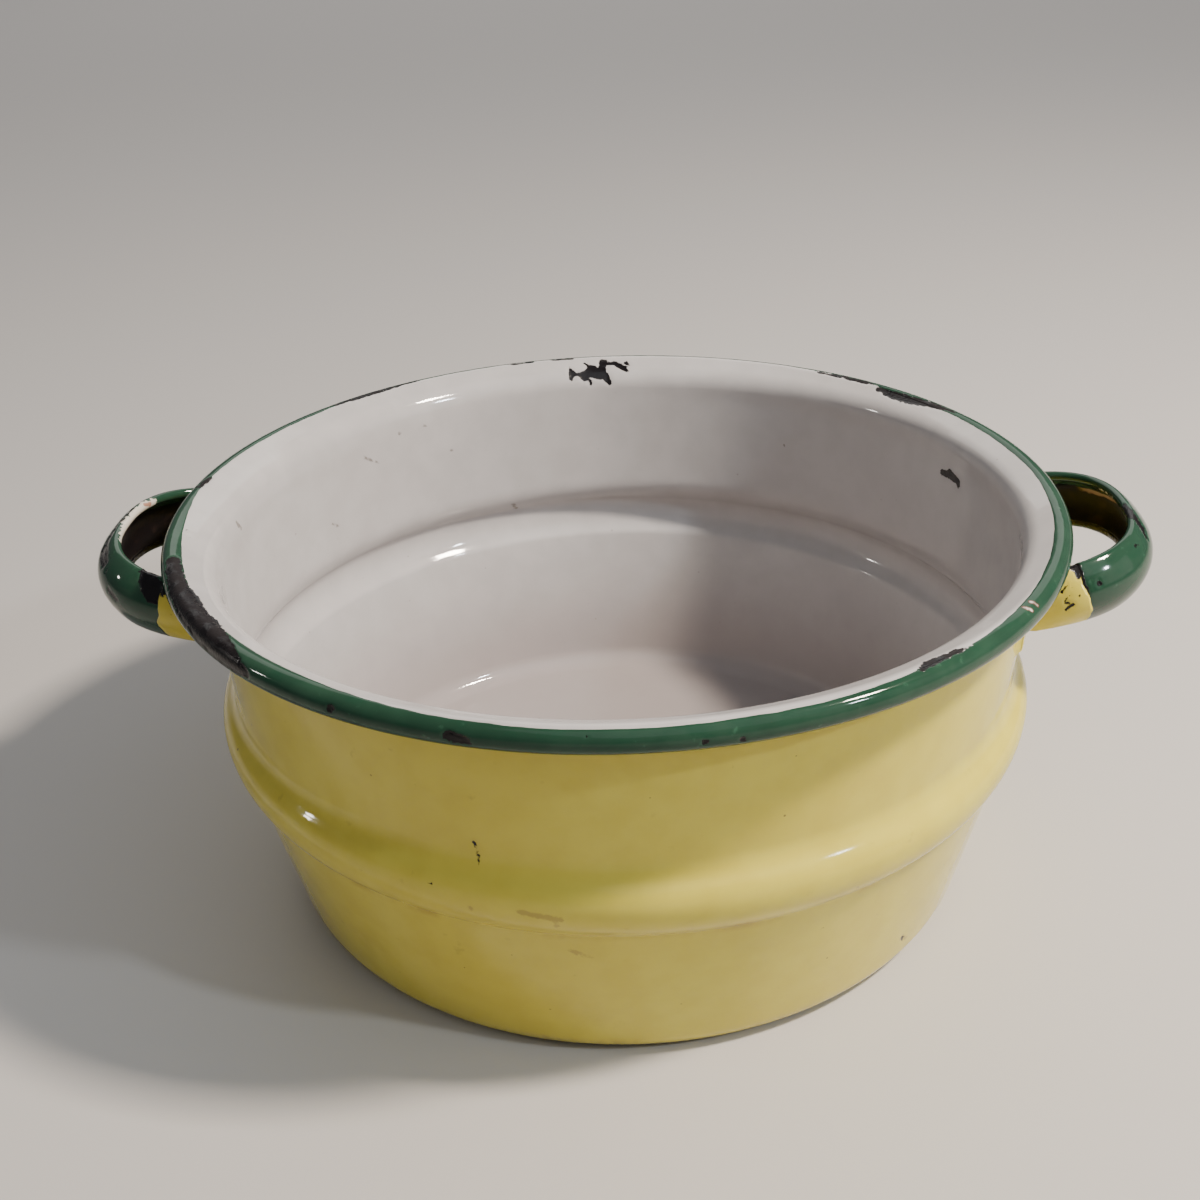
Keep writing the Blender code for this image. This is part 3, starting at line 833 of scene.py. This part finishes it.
OUTER_CHIPS = wall_strokes((
    ((253.2, 58.4, 0.30), (253.5, 56.2, 0.36), (253.6, 53.7, 0.28)), ((254.4, 51.3, 0.30),),
    ((251.5, 45.8, 0.30),), ((283.9, 75.8, 0.36),), ((291.2, 75.4, 0.36),),
    ((316.3, 10.0, 0.60), (317.0, 9.1, 0.50)), ((248.0, 49.0, 0.30),), ((297.0, 30.5, 0.34),),
    ((73.0, 52.0, 0.55), (74.4, 50.0, 0.65)), ((120.0, 8.4, 0.7), (122.6, 7.2, 0.55)),
    ((35.5, 45.0, 0.42),), ((160.0, 28.0, 0.36),), ((84.0, 70.0, 0.34),),
), -COAT_FACE)
OUTER_MARKS = wall_strokes((
    ((263.9, 34.5, 0.45), (265.2, 33.2, 0.75), (266.8, 32.5, 0.45)),
    ((259.0, 46.4, 0.60), (263.7, 45.3, 0.75)), ((263.2, 43.4, 0.7),), ((253.0, 45.4, 0.6),),
    ((315.8, 10.8, 0.8), (317.7, 8.6, 0.6)), ((102.0, 47.0, 0.7), (98.5, 45.9, 0.6)),
    ((60.0, 31.0, 0.7), (62.0, 29.0, 0.6)), ((205.0, 44.5, 0.55), (208.0, 44.0, 0.55)),
    ((245.5, 50.0, 0.35),), ((238.0, 47.0, 0.35),), ((300.0, 42.0, 0.5),),
), -COAT_FACE)
RIM_MARKS = rim_strokes((
    ((323.9, 1.1, 0.22), (324.3, 1.9, 0.24)), ((325.5, 1.2, 0.22), (325.9, 2.0, 0.20)),
    ((219.7, 1.7, 0.12),), ((226.6, 2.1, 0.12),),
))


# ---- the handles

def wall_radius(height):
    """Radius of the sheet's middle line on the straight neck, at a height."""
    r, z, _ = SHEET.at_length(np.array([SHEET.marks["neck"], SHEET.marks["lip"]]))
    return np.interp(height, z, r)


class StrapPath:
    """Half of a handle's middle line, from the front of the loop to the end of one foot.

    A place on it is its length from the middle of the loop.
    """

    def __init__(self):
        self.half = STRAP_HALF_HEIGHT - COAT_FACE
        self.reach = HANDLE_REACH - COAT_FACE
        self.span = HANDLE_HALF_SPAN - COAT_FACE
        self.foot_radius = wall_radius(HANDLE_HEIGHT) + COAT_FACE
        self.bend_side = self.span + FOOT_BEND_RADIUS
        bend_distance = self.foot_radius + FOOT_BEND_RADIUS
        self.bend_centre = math.sqrt(bend_distance ** 2 - self.bend_side ** 2)
        self.foot_start = math.atan2(self.bend_side, self.bend_centre)
        self.knots = np.linspace(0.0, 3.0, STRAP_KNOTS)
        self.table = np.array([np.concatenate(self.frame(knot)) for knot in self.knots])
        steps = np.linalg.norm(np.diff(self.table[:, :3], axis=0), axis=1)
        self.lengths = np.concatenate([[0.0], np.cumsum(steps)])

    def frame(self, knot):
        """Centre, outward normal, height direction and crown; 0-1 loop, 1-2 bend, 2-3 foot."""
        flare = math.radians(NECK_FLARE)
        tilt = math.radians(HANDLE_TILT)
        if knot <= 1.0:
            turn = knot * math.pi / 2
            power = 2.0 / HANDLE_SQUARENESS
            out = self.reach * max(math.cos(turn), 0.0) ** power
            side = self.span * math.sin(turn) ** power
            slopes = np.array([
                (out / self.reach) ** (HANDLE_SQUARENESS - 1.0) / self.reach,
                (side / self.span) ** (HANDLE_SQUARENESS - 1.0) / self.span,
            ])
            normal = slopes / np.linalg.norm(slopes)
            lean = -flare + (tilt + flare) * smooth(*TILT_FADE, out)
            rise = HANDLE_HEIGHT + out * math.sin(tilt)
            centre = np.array([HANDLE_ROOT + out * math.cos(tilt), side, rise])
            outward = normal[0] * np.array([math.cos(lean), 0.0, math.sin(lean)])
            outward[1] = normal[1]
            up = np.array([-math.sin(lean), 0.0, math.cos(lean)])
            return centre, outward, up, [STRAP_CROWN * smooth(*CROWN_FADE, out)]
        if knot <= 2.0:
            turn = (knot - 1.0) * (math.pi / 2 - self.foot_start)
            outward = np.array([math.sin(turn), math.cos(turn), 0.0])
            corner = np.array([self.bend_centre, self.bend_side, HANDLE_HEIGHT])
            centre = corner - outward * FOOT_BEND_RADIUS
            crown = STRAP_CROWN * smooth(*CROWN_FADE, 0.0) * (2.0 - knot)
        else:
            turn = self.foot_start + (knot - 2.0) * math.radians(FOOT_SWEEP)
            outward = np.array([math.cos(turn), math.sin(turn), 0.0])
            centre = outward * self.foot_radius
            centre[2] = HANDLE_HEIGHT
            crown = 0.0
        radial = np.array([centre[0], centre[1], 0.0])
        radial /= np.linalg.norm(radial)
        up = radial * math.sin(flare) + np.array([0.0, 0.0, math.cos(flare)])
        return centre, outward, up, [crown]

    def length_at_reach(self, distance):
        """Length to the place of the loop that lies a given distance out from the pan."""
        turn = math.acos((distance / self.reach) ** (HANDLE_SQUARENESS / 2.0))
        return float(np.interp(turn / (math.pi / 2), self.knots, self.lengths))

    def points(self, lengths, k, swing, offset):
        """Points of a skin round the strap.

        k runs from -1 to 1 up the strap's section; swing is 0 on the outer face, half a turn
        on the inner face, and between them round the strap's edge.
        """
        lengths, k, swing, offset = np.broadcast_arrays(lengths, k, swing, offset)
        columns = [np.interp(lengths, self.lengths, column) for column in self.table.T]
        centre, outward, up = (np.stack(columns[i:i + 3], axis=-1) for i in (0, 3, 6))
        outward /= np.linalg.norm(outward, axis=-1, keepdims=True)
        crown = columns[9]
        scale = np.sqrt(self.half ** 2 + (2.0 * crown * k) ** 2)
        normal_x, normal_y = self.half / scale, 2.0 * crown * k / scale
        edge_x = -2.0 * crown * np.abs(k) / scale
        edge_y = np.sign(k) * self.half / scale
        x = crown * (1.0 - k * k) + offset * (normal_x * np.cos(swing) + edge_x * np.sin(swing))
        y = self.half * k + offset * (normal_y * np.cos(swing) + edge_y * np.sin(swing))
        return centre + outward * x[..., None] + up * y[..., None]


STRAP = StrapPath()
# How far a coat returns on the inner face, as a share of the strap's half height
UPPER_RETURN = 0.36
LOWER_RETURN = 0.02
# How the seam of green and yellow leans about a k, and how fast the rings beside it straighten
SEAM_LEAN = {"right": 0.0015, "left": 0.0002}
LEAN_PIVOT = 0.4
SEAM_FADE = 6
YELLOW_SKIN = enamel(
    "yellow_enamel", YELLOWS, yellow_wear, 0.75, marks=(MARK_BROWN, 0.55), shine=0.25)
GRIP_SKIN = enamel("green_grip_enamel", GREENS, grip_wear, 0.45)
STRAP_SKIN = bare_metal("ground_coat_on_strap", True, shine=0.15)


def wrapped_section(wrap):
    """k and swing of a skin that covers the outer face and returns onto the inner one.

    wrap is how far it returns at the lower and the upper edge, as two columns, one row for each
    ring.
    """
    share = np.linspace(1.0, 0.0, RETURN_STEPS)[None, :-1]
    lower = -1.0 + wrap[:, :1] * share
    upper = (1.0 - wrap[:, 1:] * share)[:, ::-1]
    rows = len(wrap)
    swing = np.linspace(math.pi, 0.0, EDGE_STEPS)
    face = np.linspace(-1.0, 1.0, FACE_STEPS)[1:-1]
    middle = np.concatenate([-np.ones(EDGE_STEPS), face, np.ones(EDGE_STEPS)])
    k = np.concatenate([lower, np.repeat(middle[None, :], rows, axis=0), upper], axis=1)
    turn = np.concatenate([
        np.full(RETURN_STEPS - 1, math.pi), swing, np.zeros(FACE_STEPS - 2), swing[::-1],
        np.full(RETURN_STEPS - 1, math.pi),
    ])
    return k, np.repeat(turn[None, :], rows, axis=0)


def strap_shell(name, rings, values, hand):
    """A closed tube of rings, one mesh, turned to its hand."""
    points = np.array(rings)
    rows, columns = points.shape[:2]
    faces = grid_faces(rows, columns, False)
    faces.append(tuple(range(columns)))
    faces.append(tuple((rows - 1) * columns + j for j in range(columns))[::-1])
    flat = points.reshape(-1, 3).copy()
    flat[:, :2] *= hand
    return make_object(name, flat, faces, values)


def along_strap(lengths, k, swing, offset):
    """Points round the strap at signed lengths, negative on its -Y limb."""
    points = STRAP.points(np.abs(lengths), k, swing, offset)
    points[..., 1] *= np.where(np.broadcast_to(lengths, points.shape[:-1]) < 0.0, -1.0, 1.0)
    return points


def strap_place(along, k, half_turns=0.0):
    """A place on a handle's coat from mm along it, k and swing in half turns."""
    return along_strap(np.array([along * MM]), k, half_turns * math.pi, COAT_FACE)[0]


def skin_rings(lengths, wrap, chips, seam_end, free_end, lean):
    """Rings of a coat on the strap, lowered where it is chipped, and their chip values.

    The seam where green meets yellow leans and wanders, and the rings near it follow it.
    """
    k, swing = wrapped_section(wrap)
    spot = np.stack([k[0] * 0.006, swing[0] * 0.001, 0 * k[0] + seam_end], axis=-1)
    shift = waves(spot, SEAM_WAVES) + math.copysign(lean, seam_end) * (k[0] - LEAN_PIVOT)
    share = np.clip((lengths - free_end) / (seam_end - free_end), 0.0, 1.0) ** SEAM_FADE
    along = lengths[:, None] + share[:, None] * shift[None, :]
    whole = along_strap(along, k, swing, COAT_FACE)
    chip = ragged(whole, nearness(whole, chips))
    far = along_strap(along, k, swing, COAT_FACE - sunk(chip))
    near = along_strap(along, k[:, ::-1], swing[:, ::-1], COAT_BACK)
    none = np.full(chip.shape, FAR_OFF)
    return np.concatenate([far, near], axis=1), np.concatenate([chip, none], axis=1)


def make_strap(hand_name, hand):
    """The steel strap of one handle."""
    full = STRAP.lengths[-1]
    lengths = np.linspace(-full, full, STRAP_ROWS)
    face = np.linspace(-1.0, 1.0, FACE_STEPS)[None, :]
    outer = along_strap(lengths[:, None], face, 0.0, STEEL_HALF)
    inner = along_strap(lengths[:, None], face[:, ::-1], math.pi, 2 * STEEL_HALF)
    rings = np.concatenate([outer, inner], axis=1)
    share = np.concatenate([face[0], face[0, ::-1]])[None, :]
    dust = overspray(hand, lengths[:, None] * 1000.0, share)
    steel = strap_shell(hand_name + "_strap", rings, {"dust": dust.ravel()}, hand)
    steel.data.materials.append(STRAP_SKIN)
    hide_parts(hand_name + "_handle_strap")
    return steel


def make_grip(hand_name, hand, marks, grip_end):
    """The green coat of one grip, whose edges on the inner face wander."""
    lengths = np.linspace(-grip_end, grip_end, 2 * GRIP_HALF_ROWS - 1)
    line = np.stack([lengths, 0 * lengths, 0 * lengths + hand], axis=-1)
    lower, upper = waves(line, LOWER_WAVES), waves(line, UPPER_WAVES)
    wrap = np.stack([LOWER_RETURN + lower, UPPER_RETURN + upper], axis=-1)
    wrap = np.maximum(wrap, LOWER_RETURN)
    halves = [
        skin_rings(lengths[rows], wrap[rows], marks["chip"], end, 0.0, SEAM_LEAN[hand_name])
        for rows, end in (
            (slice(None, GRIP_HALF_ROWS), -grip_end), (slice(GRIP_HALF_ROWS, None), grip_end),
        )
    ]
    rings = np.concatenate([half[0] for half in halves])
    values = {"chip": np.concatenate([half[1] for half in halves]).ravel()}
    for kind in ("pale", "red"):
        values[kind] = nearness(rings, marks[kind]).ravel()
    grip = strap_shell(hand_name + "_grip", rings, values, hand)
    grip.data.materials.append(GRIP_SKIN)
    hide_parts(hand_name + "_grip_coat")
    return grip


def make_foot(hand_name, hand, foot, y_sign, marks, grip_end):
    """The yellow coat of one foot."""
    full = STRAP.lengths[-1]
    lengths = np.linspace(grip_end, full, FOOT_ROWS)
    seam, free = grip_end, full
    if y_sign * hand < 0.0:
        lengths, seam, free = -lengths[::-1], -grip_end, -full
    wrap = np.tile([[LOWER_RETURN, UPPER_RETURN]], (len(lengths), 1))
    rings, chip = skin_rings(lengths, wrap, marks["foot"], seam, free, SEAM_LEAN[hand_name])
    name = f"{hand_name}_{foot}_foot"
    stain = nearness(rings, marks["stain"]).ravel()
    piece = strap_shell(name, rings, {"chip": chip.ravel(), "mark": stain}, hand)
    piece.data.materials.append(YELLOW_SKIN)
    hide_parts(name + "_coat")
    return piece


def make_handle(hand_name, hand):
    """One handle: its steel strap, green grip and two yellow feet."""
    grip_end = STRAP.length_at_reach(FOOT_COAT_REACH)
    marks = {kind: placed(drawn, strap_place) for kind, drawn in GRIP_MARKS[hand_name].items()}
    return [
        make_strap(hand_name, hand),
        make_grip(hand_name, hand, marks, grip_end),
        make_foot(hand_name, hand, "front", -1.0, marks, grip_end),
        make_foot(hand_name, hand, "rear", 1.0, marks, grip_end),
    ]


def overspray(hand, along, share):
    """How much ochre dust lies on the strap, by mm along it and place up its section."""
    apart = np.abs(along)
    if hand > 0.0:
        band = smooth(0.12, 0.40, share) * smooth(-4.0, 4.0, along) * smooth(24.0, 17.0, along)
        root = smooth(23.0, 29.0, apart) * smooth(0.30, -0.50, share)
        return band + 0.80 * root
    edge = smooth(-0.70, -0.97, share) * smooth(14.0, 22.0, apart)
    return 0.60 * edge + 0.40 * smooth(26.0, 31.0, apart) * smooth(0.4, -0.4, share)


# The worn lower edge of a grip, and the marks on the handles, as strokes of
# (mm along, k, half turns of swing where it is not 0, radius in mm)
LOWER_EDGE = tuple((along, -1.0, 0.92, 0.85) for along in range(-32, 33, 4))
GRIP_MARKS = {
    "right": {
        "chip": (
            ((-1.5, 1.0, 0.45, 0.50), (-4.5, 1.0, 0.40, 1.00), (-8.0, 0.95, 0.25, 1.15),
             (-10.6, 0.78, 0.95), (-12.4, 0.55, 0.50)),
            ((-16.8, 0.72, 0.40), (-18.0, 0.74, 0.30)),
            ((-29.8, 0.40, 0.45),), ((-28.6, 0.46, 0.28),),
            ((-34.2, 1.0, 0.2, 1.15), (-33.4, 0.75, 0.60), (-32.6, 0.30, 0.45),
             (-32.1, 0.0, 0.22)),
            ((30.8, 0.2, 0.5), (32.5, 0.5, 0.6)), ((8.0, -0.6, 0.4),), LOWER_EDGE,
        ),
        "pale": (((5.0, 1.0, 0.85, 0.30), (12.0, 0.97, 0.95, 0.30)),),
        "red": (((-5.0, 1.0, 0.3, 0.45), (-9.5, 0.86, 0.4)),),
        "foot": (
            ((-34.2, 1.0, 0.2, 1.15), (-33.8, 0.75, 0.50)),
            ((-35.4, 0.50, 0.24), (-36.6, 0.62, 0.30), (-37.6, 0.40, 0.26)),
            ((-36.0, 0.30, 0.26), (-37.0, 0.12, 0.32), (-35.9, 0.0, 0.24)),
            ((-35.2, -0.05, 0.22), (-36.4, -0.20, 0.26)), ((-37.8, -0.1, 0.28),),
            ((-34.2, 0.22, 0.20), (-34.0, 0.05, 0.20)),
        ),
        "stain": (((-38.0, 0.8, 1.0), (-42.0, 0.9, 1.2)),),
    },
    "left": {
        "chip": (
            ((-6.0, 1.0, 0.1, 0.35), (0.5, 0.97, 0.55), (5.8, 0.84, 0.75),
             (9.0, 0.70, 1.0)),
            ((9.8, 0.60, 1.45), (12.6, 0.58, 1.65), (15.2, 0.55, 1.25)),
            ((17.4, 0.46, 0.45),),
            ((20.0, -0.02, 0.60), (22.6, -0.10, 0.65)),
            ((26.8, 1.0, 0.2, 1.2), (29.2, 0.85, 2.2), (31.6, 0.66, 2.6)),
            ((-20.0, 0.1, 0.5), (-22.5, 0.0, 0.4)), LOWER_EDGE,
        ),
        "pale": (
            ((-12.6, 1.0, 0.70, 1.10), (-9.0, 1.0, 0.75, 1.60), (-5.0, 1.0, 0.80, 1.75),
             (0.0, 1.0, 0.80, 1.70), (5.5, 1.0, 0.82, 1.65), (10.5, 1.0, 0.84, 1.20)),
            ((21.5, 0.25, 0.18),),
        ),
        "red": (((-11.4, 1.0, 0.66, 0.60), (-9.4, 1.0, 0.50, 0.40)),),
        "foot": (((32.6, 0.92, 0.1, 1.1), (33.4, 0.70, 0.8)),
                 ((36.0, 0.60, 0.22),), ((35.0, 0.1, 0.18),),),
        "stain": (((34.0, 1.0, 0.3, 1.3), (38.0, 0.95, 1.5), (42.0, 0.9, 1.4)),),
    },
}


# ---- the body

def circle(count):
    """Angles round the pan, from +X towards +Y."""
    return np.arange(count) * (2.0 * math.pi / count)


def boundary(angles):
    """Place on the sheet where the green of the rim meets the white, all round."""
    degrees = np.degrees(angles)
    shift = np.full(len(angles), BOUNDARY_REST)
    for middle, spread, change in BOUNDARY_BENDS:
        apart = (degrees - middle + 180.0) % 360.0 - 180.0
        shift = shift + change * np.exp(-(apart / spread) ** 2)
    edge = np.stack([np.cos(angles), np.sin(angles), 0 * angles], axis=-1) * RIM_RADIUS
    shift = shift + waves(edge, BOUNDARY_WAVES)
    return SHEET.marks["bead"] + shift * MM


def coat_ring(angles, lengths, distance):
    """Points all round the pan, at lengths along the sheet and a distance from its middle line."""
    r, z = SHEET.offset(lengths, distance)
    return sway(ring_points(angles, r, z))


def coat_fields(angles, lengths, distance, strokes, marks):
    """How far each point of a coat's whole face lies inside a chip, and inside a mark."""
    whole = coat_ring(angles, lengths, distance)
    return ragged(whole, nearness(whole, strokes)), nearness(whole, marks)


def coat_shell(name, face, hidden, chip, mark, reaches_axis):
    """A coat's shell from its visible face and its hidden one, with its chip and mark values."""
    none = np.full((len(hidden), chip.shape[1]), FAR_OFF)
    values = {
        "chip": np.concatenate([chip, none]).ravel(),
        "mark": np.concatenate([mark, none]).ravel(),
    }
    return turned_shell(name, list(face) + list(hidden), values, reaches_axis)


def make_lining():
    """The white enamel of the inside, which runs on a little under the green of the rim."""
    angles = circle(AROUND_BODY)
    fixed = rows_between(
        ("centre", "corner", "wall", "step", "belly", "waist", "neck", "lip"),
        (0.0060, 0.0008, 0.0022, 0.0004, 0.0008, 0.0010, 0.0011),
    )
    lip = SHEET.marks["lip"]
    end = boundary(angles) + LINING_OVERLAP
    share = np.linspace(0.0, 1.0, LIP_ROWS + 1)[1:, None]
    lengths = np.concatenate([
        np.repeat(fixed[:, None], AROUND_BODY, axis=1),
        lip + (end - lip)[None, :] * share,
    ])
    chip, mark = coat_fields(
        angles, lengths, WHITE_FACE, RIM_CHIPS + LINING_CHIPS, LINING_MARKS)
    face = coat_ring(angles, lengths, WHITE_FACE - sunk(chip))
    low, high = fixed[fixed < SHEET.marks["step"]], fixed[fixed >= SHEET.marks["step"]]
    back = np.concatenate([low[::HIDDEN_STEP], high[::HIDDEN_STEP // 2], [lip]])
    back = np.repeat(back[:, None], AROUND_BODY, axis=1)
    back = np.concatenate([back, lengths[-1 - 3 * HIDDEN_STEP::HIDDEN_STEP]])[::-1]
    hidden = coat_ring(angles, back, COAT_BACK)
    piece = coat_shell("white_enamel", face, hidden, chip, mark, True)
    piece.data.materials.append(enamel(
        "white_enamel", WHITES, white_rubs_and_floor_grey, 0.25, marks=(MARK_GREY, 0.8)))
    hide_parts("white_lining")
    return piece


def tab_rise(angles, z):
    """How far the outer coat stands out where it covers the feet of the handles."""
    start = STRAP.foot_start
    end = start + math.radians(FOOT_SWEEP)
    edge = TAB_EDGE / BELLY_RADIUS
    turn = np.abs(np.arcsin(np.clip(np.sin(angles), -1.0, 1.0)))[None, :]
    tall = np.abs(z - HANDLE_HEIGHT)
    tip = smooth(end + edge, end - edge * TAB_INSET, turn)
    neck = smooth(start - TAB_OUTSET * edge, start, turn)
    side = smooth(STRAP_HALF_HEIGHT + TAB_EDGE, STRAP_HALF_HEIGHT - TAB_INSET * TAB_EDGE, tall)
    return TAB_RISE * tip * neck * side


def make_outer_coat():
    """The yellow enamel of the outside, from the base's corner to the underside of the lip."""
    angles = circle(AROUND_BODY)
    fixed = rows_between(
        ("corner", "wall", "step", "belly", "waist", "neck", "lip", "slope", "bead"),
        (0.0007, 0.0016, 0.0003, 0.0006, 0.0007, 0.0008, 0.0008, 0.0016),
    )
    corner_radius = BASE_CORNER_RADIUS - COAT_FACE
    start = SHEET.marks["corner"] + math.radians(OUTER_COAT_START) * corner_radius
    fixed = np.concatenate([[start], fixed[fixed > start + 0.0002]])
    lengths = np.repeat(fixed[:, None], AROUND_BODY, axis=1)
    chip, mark = coat_fields(angles, lengths, -COAT_FACE, OUTER_CHIPS, OUTER_MARKS)
    _, z = SHEET.offset(lengths, -COAT_FACE)
    rise = tab_rise(angles, z) - sunk(chip)
    face = coat_ring(angles, lengths, -COAT_FACE - rise)[::-1]
    back = np.concatenate([lengths[:-2:HIDDEN_STEP], lengths[-1:]])
    hidden = coat_ring(angles, back, -COAT_BACK)
    piece = coat_shell("yellow_enamel", face, hidden, chip[::-1], mark[::-1], False)
    piece.data.materials.append(YELLOW_SKIN)
    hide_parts("yellow_outer_coat")
    return piece


def make_rim_coat():
    """The green enamel of the rolled rim, whose inner edge wanders."""
    angles = circle(AROUND_RIM)
    start = boundary(angles)[None, :]
    end = SHEET.marks["rim_end"]
    lengths = start + (end - start) * np.linspace(0.0, 1.0, RIM_ROWS)[:, None]
    chip, mark = coat_fields(angles, lengths, COAT_FACE, RIM_CHIPS, RIM_MARKS)
    thinning = 1.0 - smooth(0.0, RIM_EDGE_WIDTH, lengths - start)
    lower = sunk(chip) + RIM_EDGE_SINK * thinning
    face = coat_ring(angles, lengths, COAT_FACE - np.minimum(lower, CHIP_DEPTH))
    back = start + (end - start) * np.linspace(1.0, 0.0, RIM_BACK_ROWS)[:, None]
    hidden = coat_ring(angles, back, COAT_BACK)
    piece = coat_shell("green_rim_enamel", face, hidden, chip, mark, False)
    piece.data.materials.append(enamel(
        "green_rim_enamel", GREENS, green_wear, 0.45,
        marks=(MARK_PALE, 0.95, MARK_RUST), shine=0.22))
    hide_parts("green_rim_coat")
    return piece


def make_steel():
    """The pressed steel in its black ground coat."""
    angles = circle(AROUND_STEEL)
    lengths = rows_between(
        ("centre", "corner", "wall", "step", "belly", "waist", "neck", "lip", "slope", "bead",
         "curl_end"),
        (0.0100, 0.0012, 0.0100, 0.0006, 0.0015, 0.0025, 0.0060, 0.0010, 0.0020, 0.0004),
    )[:, None]
    upper = coat_ring(angles, lengths, STEEL_HALF)
    lower = coat_ring(angles, lengths[::-1], -STEEL_HALF)
    piece = turned_shell("ground_coated_steel", list(upper) + list(lower), {}, True)
    piece.data.materials.append(bare_metal("ground_coat_on_steel", False))
    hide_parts("pan_body")
    return piece


make_camera()
make_lights()
make_floor()
pieces = [make_steel(), make_lining(), make_outer_coat(), make_rim_coat()]
pieces += make_handle("right", 1.0)
pieces += make_handle("left", -1.0)
for piece in pieces:
    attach(piece, "root")
weld_skin = bare_metal("weld_steel", False)
for label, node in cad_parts.items():
    if label.endswith("_weld"):
        node.data.materials.clear()
        node.data.materials.append(weld_skin)
